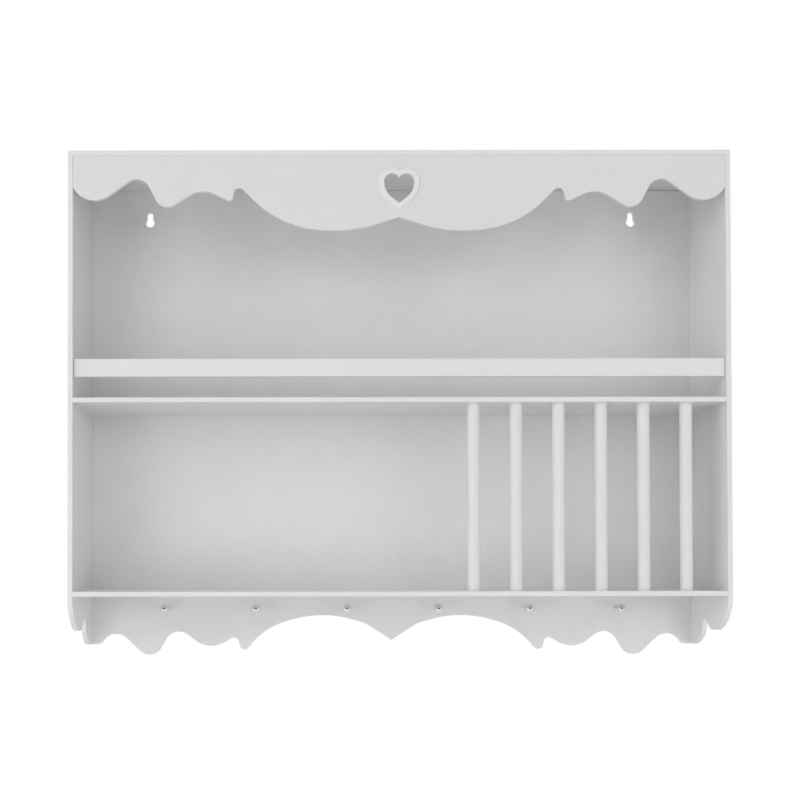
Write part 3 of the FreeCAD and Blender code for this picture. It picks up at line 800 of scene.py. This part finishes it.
class Graph:
    """The nodes of one material or of the world."""

    def __init__(self, owner):
        owner.use_nodes = True
        self.tree = owner.node_tree
        self.tree.nodes.clear()

    def node(self, kind, settings=None, sockets=None, output=0):
        """Add a node: its settings first, then its sockets. Gives one of its outputs as a value."""
        made = self.tree.nodes.new(kind)
        for name, setting in (settings or {}).items():
            setattr(made, name, setting)
        for name, given in (sockets or {}).items():
            if isinstance(given, Value):
                self.tree.links.new(given.socket, made.inputs[name])
            else:
                made.inputs[name].default_value = given
        return Value(self, made.outputs[output]) if made.outputs else None

    def place(self):
        """The place of a point in its object's own metres."""
        return self.node("ShaderNodeTexCoord", output="Object")

    def noise(self, place, scale, detail=2.0, roughness=0.5):
        """Soft noise around one half, with a given number of blotches per metre."""
        return self.node("ShaderNodeTexNoise", None, {
            "Vector": place, "Scale": scale, "Detail": detail, "Roughness": roughness})

    def blend(self, share, first, second):
        """Colour between two greys or colours, by the Mix node's colour sockets."""
        return self.node("ShaderNodeMix", {"data_type": "RGBA"},
                         {0: share, MIX_FIRST: first, MIX_SECOND: second}, MIX_RESULT)

    def ramp(self, value, low, high):
        """Smooth step: 0 below low, 1 above high."""
        return self.node("ShaderNodeMapRange", {"interpolation_type": "SMOOTHSTEP"},
                         {"Value": value, "From Min": low, "From Max": high})

    def bump(self, height, strength, distance):
        """Normal bent by a height, for the Normal socket of a shader."""
        return self.node("ShaderNodeBump", None, {
            "Strength": strength, "Distance": distance, "Height": height})


def grey(level):
    """A neutral colour."""
    return (level, level, level, 1)


# %% [markdown]
# ## Satin paint
#
# The real finish is sprayed satin paint on smooth board: nearly even, with a fine orange peel of
# about a millimetre, and a slow unevenness that only the sheen shows. Cut edges drink the first
# coats, so they stay a little rougher. The board meshes carry an edge mark from 0 to 1, and that
# mark drives the edge finish. Painted dowels are the same paint, with the faint lengthwise grain of
# the wood below it.

# %% How paint is built up
MOTTLE, PATCHES, ORANGE_PEEL, FIBRES, WOOD_LINES = 9, 55, 620, 1500, 420  # blotches per metre
DARKER, LIGHTER, IN_THE_LINES = 0.985, 1.012, 0.97  # shares of the paint's own grey
PAINT_ROUGHNESS = 0.36
PAINT_IOR = 1.48
PAINT_RELIEF = 0.06 * MM


def paint(name, level, grain=None, edge_grain=0.0):
    """Satin paint: a base grey, slow mottling, orange peel and rougher cut edges.

    The roughness is 0.36 + 0.08 mottle + 0.06 patches + 0.12 edge. The height for the bump is
    0.6 peel + edge grain times edge and fibres, and on a dowel 0.9 times the wood's lines as well.
    """
    material = bpy.data.materials.new(name)
    graph = Graph(material)
    place = graph.place()
    mottle = graph.noise(place, MOTTLE, 3)
    patches = graph.noise(place, PATCHES)
    peel = graph.noise(place, ORANGE_PEEL, roughness=0.45)
    edge = graph.node("ShaderNodeAttribute", {"attribute_name": "edge"}, output="Fac")
    cloud = mottle * 0.6 + patches * 0.4
    colour = graph.blend(graph.ramp(cloud, 0.32, 0.68), grey(level * DARKER), grey(level * LIGHTER))
    height = peel * 0.6 + edge * graph.noise(place, FIBRES, 3, 0.6) * edge_grain
    if grain is not None:
        stretched = graph.node("ShaderNodeMapping", None, {"Vector": place, "Scale": grain})
        lines = graph.noise(stretched, WOOD_LINES, 3, 0.6)
        height = height + lines * 0.9
        colour = graph.blend(graph.ramp(lines, 0.3, 0.7), grey(level * IN_THE_LINES), colour)
    roughness = PAINT_ROUGHNESS + mottle * 0.08 + patches * 0.06 + edge * 0.12
    shader = graph.node("ShaderNodeBsdfPrincipled", None, {
        "Base Color": colour, "Roughness": roughness, "IOR": PAINT_IOR,
        "Normal": graph.bump(height, 0.35, PAINT_RELIEF)})
    graph.node("ShaderNodeOutputMaterial", None, {"Surface": shader})
    print(name + ":", len(graph.tree.nodes), "nodes, grey", round(level, 3))
    return material


# %% Paints of this shelf
PAINT_LEVEL = 0.82
BOARD_FIBRES = 0.8
RING_FIBRES = 0.4
ALONG_DOWEL = 1, 1, 0.05

board_paint = paint("satin_board_paint", PAINT_LEVEL, edge_grain=BOARD_FIBRES)
# The valance gets the board paint 4 % darker: painted shade that dims its front face against the
# inside of the case.
valance_paint_with_painted_shade = paint("satin_valance_paint", PAINT_LEVEL * 0.96, edge_grain=BOARD_FIBRES)
ring_paint = paint("satin_ring_paint", PAINT_LEVEL * 1.04, edge_grain=RING_FIBRES)
dowel_paint = paint("satin_dowel_paint", PAINT_LEVEL * 1.01, grain=ALONG_DOWEL)
pin_paint = paint("satin_pin_paint", PAINT_LEVEL * 0.97)

# %% [markdown]
# ## Bright pegs
#
# Plated metal shows its surroundings and has almost no colour of its own. Only a thin haze and a
# few soft smears vary its roughness, so that it does not look like a mathematical mirror.

# %% Plated metal
SMEARS = 260  # per metre
CLEAR_METAL, HAZY_METAL = 0.76, 0.68
METAL_ROUGHNESS = 0.07
METAL_RELIEF = 0.02 * MM

peg_metal = bpy.data.materials.new("bright_plated_metal")
graph = Graph(peg_metal)
smears = graph.noise(graph.place(), SMEARS, 3, 0.6)
haze = graph.ramp(smears, 0.42, 0.72)
shader = graph.node("ShaderNodeBsdfPrincipled", None, {
    "Base Color": graph.blend(haze, grey(CLEAR_METAL), grey(HAZY_METAL)), "Metallic": 1.0,
    "Roughness": METAL_ROUGHNESS + haze * METAL_ROUGHNESS,
    "Normal": graph.bump(smears, 0.1, METAL_RELIEF)})
graph.node("ShaderNodeOutputMaterial", None, {"Surface": shader})
print(peg_metal.name + ":", len(graph.tree.nodes), "nodes")

# %% Giving each piece its finish


def finish_with(pieces, material):
    """Give every piece one material."""
    for piece in pieces:
        piece.data.materials.clear()
        piece.data.materials.append(material)


finish_with([*sides, capping_board, scalloped_back, *shelves, rail], board_paint)
finish_with([valance], valance_paint_with_painted_shade)
finish_with([heart_ring], ring_paint)
finish_with(dowels, dowel_paint)
finish_with([painted_pins], pin_paint)
finish_with(pegs, peg_metal)
finished = [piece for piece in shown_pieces() if piece.data.materials]
print("materials:", sorted({piece.data.materials[0].name for piece in finished}))

# %% [markdown]
# ## Room and floor
#
# The photograph has a pure white ground. The world is therefore white for whatever looks straight
# at it, and dimmer as a light, which keeps the shading in the corners. Mirrors see it white too,
# but with a dark end in front of the shelf, because the pegs have the dark middle that a bright
# room with a camera in it leaves in every polished ball. The shelf hangs on a wall that is not
# shown, so the floor is a disc well below it. It keeps a faint shadow under the shelf, and towards
# its rim it fades into the white of the world, so no horizon line shows.

# %% World
AMBIENT = 0.44
DARK_END = 0.06
DARK_FROM, DARK_TO = 0.62, 0.80
IN_FRONT = 0, -1, 0


def rays_of(graph):
    """Two marks: 1 for mirror rays, and 1 for all rays that look straight at something."""
    seen, mirror, through = (graph.node("ShaderNodeLightPath", output=f"Is {kind} Ray")
                             for kind in ("Camera", "Glossy", "Transmission"))
    return mirror, graph.node("ShaderNodeMath", {"operation": "ADD", "use_clamp": True},
                              {0: seen + mirror, 1: through})


world = bpy.data.worlds.new("white_room")
bpy.context.scene.world = world
graph = Graph(world)
mirror_ray, straight_ray = rays_of(graph)
heading = graph.node("ShaderNodeTexCoord", output="Generated")
forward = graph.node("ShaderNodeVectorMath", {"operation": "DOT_PRODUCT"},
                     {0: heading, 1: IN_FRONT}, "Value")
dark_end = graph.ramp(forward, DARK_FROM, DARK_TO) * mirror_ray
seen_world = graph.blend(dark_end, grey(1), grey(DARK_END))
room = graph.node("ShaderNodeBackground", None, {"Color": grey(1), "Strength": AMBIENT})
white = graph.node("ShaderNodeBackground", None, {"Color": seen_world, "Strength": 1.0})
both = graph.node("ShaderNodeMixShader", None, {0: straight_ray, 1: room, 2: white})
graph.node("ShaderNodeOutputWorld", None, {"Surface": both})
print("world:", len(graph.tree.nodes), "nodes, light", AMBIENT)

# %% Floor
FLOOR_LEVEL = -1.25
FLOOR_RADIUS = 1.6
FADE_FROM, FADE_TO = 0.5, 1.5
NEAR_WHITENESS = 0.78
DARK_PATCH, LIGHT_PATCH = 0.88, 0.90

floor_material = bpy.data.materials.new("pale_floor")
graph = Graph(floor_material)
_, straight_ray = rays_of(graph)
place = graph.place()
from_middle = graph.node("ShaderNodeVectorMath", {"operation": "DISTANCE"},
                         {0: place, 1: (0, 0, FLOOR_LEVEL)}, "Value")
whiteness = graph.ramp(from_middle, FADE_FROM, FADE_TO) * (1 - NEAR_WHITENESS) + NEAR_WHITENESS
plain = graph.node("ShaderNodeBsdfDiffuse", None, {
    "Color": graph.blend(graph.noise(place, 3), grey(DARK_PATCH), grey(LIGHT_PATCH))})
glow = graph.node("ShaderNodeEmission", None, {"Color": grey(1), "Strength": 1.0})
both = graph.node("ShaderNodeMixShader", None, {0: straight_ray * whiteness, 1: plain, 2: glow})
graph.node("ShaderNodeOutputMaterial", None, {"Surface": both})

rim = np.concatenate([FLOOR_RADIUS * CIRCLE, np.full((ROUND_STEPS, 1), FLOOR_LEVEL)], axis=1)
floor_mesh = bpy.data.meshes.new("floor")
floor_mesh.from_pydata(rim.tolist(), [], [list(range(ROUND_STEPS))])
floor = bpy.data.objects.new("floor", floor_mesh)
bpy.context.scene.collection.objects.link(floor)
finish_with([floor], floor_material)
floor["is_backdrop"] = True
print("floor at", FLOOR_LEVEL, "m,", 2 * FLOOR_RADIUS, "m across")

# %% [markdown]
# ## Lamps
#
# Seven soft lamps in front give the light of the photograph. Their strengths were found by
# rendering each lamp alone and weighing the pictures against it. One lamp above and two behind only
# light what the photograph hides. Mirrors don't see the lamps, because the pegs in the photograph
# show no square spots.

# %% Lamps
LAMPS = {
    "upper_left": {"place": (-1.5, -2.2, 0.9), "size": 1.2, "watts": 6.7},
    "upper_right": {"place": (1.5, -2.2, 0.9), "size": 1.2, "watts": 4.2},
    "lower_left": {"place": (-1.4, -1.8, -0.95), "size": 0.8, "watts": 6.4},
    "lower_right": {"place": (1.4, -1.8, -0.95), "size": 0.8, "watts": 6.1},
    "side_left": {"place": (-2.2, -1.0, 0.0), "size": 1.0, "watts": 7.6},
    "front_left": {"place": (-0.9, -2.4, 0.1), "size": 0.8, "watts": 2.1},
    "front_right": {"place": (0.9, -2.4, 0.1), "size": 0.8, "watts": 4.8},
    "overhead": {"place": (0, 0.6, 1.3), "size": 1.2, "watts": 5},
    "rear_left": {"place": (-1.6, 2.2, 0.6), "size": 1.2, "watts": 9},
    "rear_right": {"place": (1.6, 2.2, 0.6), "size": 1.2, "watts": 9},
}
AIM = Vector((0, -0.07, -0.27))
for name, lamp in LAMPS.items():
    light = bpy.data.lights.new(name, "AREA")
    light.shape = "SQUARE"
    light.size = lamp["size"]
    light.energy = lamp["watts"]
    made = bpy.data.objects.new(name, light)
    place = Vector(lamp["place"])
    turn = (AIM - place).to_track_quat("-Z", "Y").to_matrix().to_4x4()
    made.matrix_world = Matrix.Translation(place) @ turn
    made.visible_camera = False
    made.visible_glossy = False
    bpy.context.scene.collection.objects.link(made)
    print(name, "lamp:", lamp["watts"], "W over", lamp["size"], "m")

# %% [markdown]
# ## Camera
#
# The camera was fitted to the photograph: straight-on, a little left of the middle and level with
# the pegs, with the lens shifted up so that the uprights stay parallel.

# %% Camera
FOCAL_PIXELS = 1246.33
PICTURE_PIXELS = 800
SENSOR = 36
SHIFT = 0.1274, 0.1786
CAMERA_PLACE = -0.1226, -1.648, -0.4587
LEVEL_VIEW, TILT_UP, ROLL = math.radians(90), math.radians(0.884), math.radians(-0.078)

camera_data = bpy.data.cameras.new("camera")
camera_data.sensor_width = SENSOR
camera_data.lens = FOCAL_PIXELS / PICTURE_PIXELS * SENSOR
camera_data.shift_x, camera_data.shift_y = SHIFT
camera = bpy.data.objects.new("camera", camera_data)
pitch = Matrix.Rotation(LEVEL_VIEW + TILT_UP, 4, "X")
roll = Matrix.Rotation(ROLL, 4, "Z")
camera.matrix_world = Matrix.Translation(CAMERA_PLACE) @ pitch @ roll
bpy.context.scene.collection.objects.link(camera)
bpy.context.scene.camera = camera
bpy.context.scene.view_settings.view_transform = "Standard"
print("lens:", round(camera_data.lens, 2), "mm")

low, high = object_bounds()
outside = [round(side / MM, 3) for side in (*(cad_low - low), *(high - cad_high))]
print("outside the CAD box in mm:", outside)
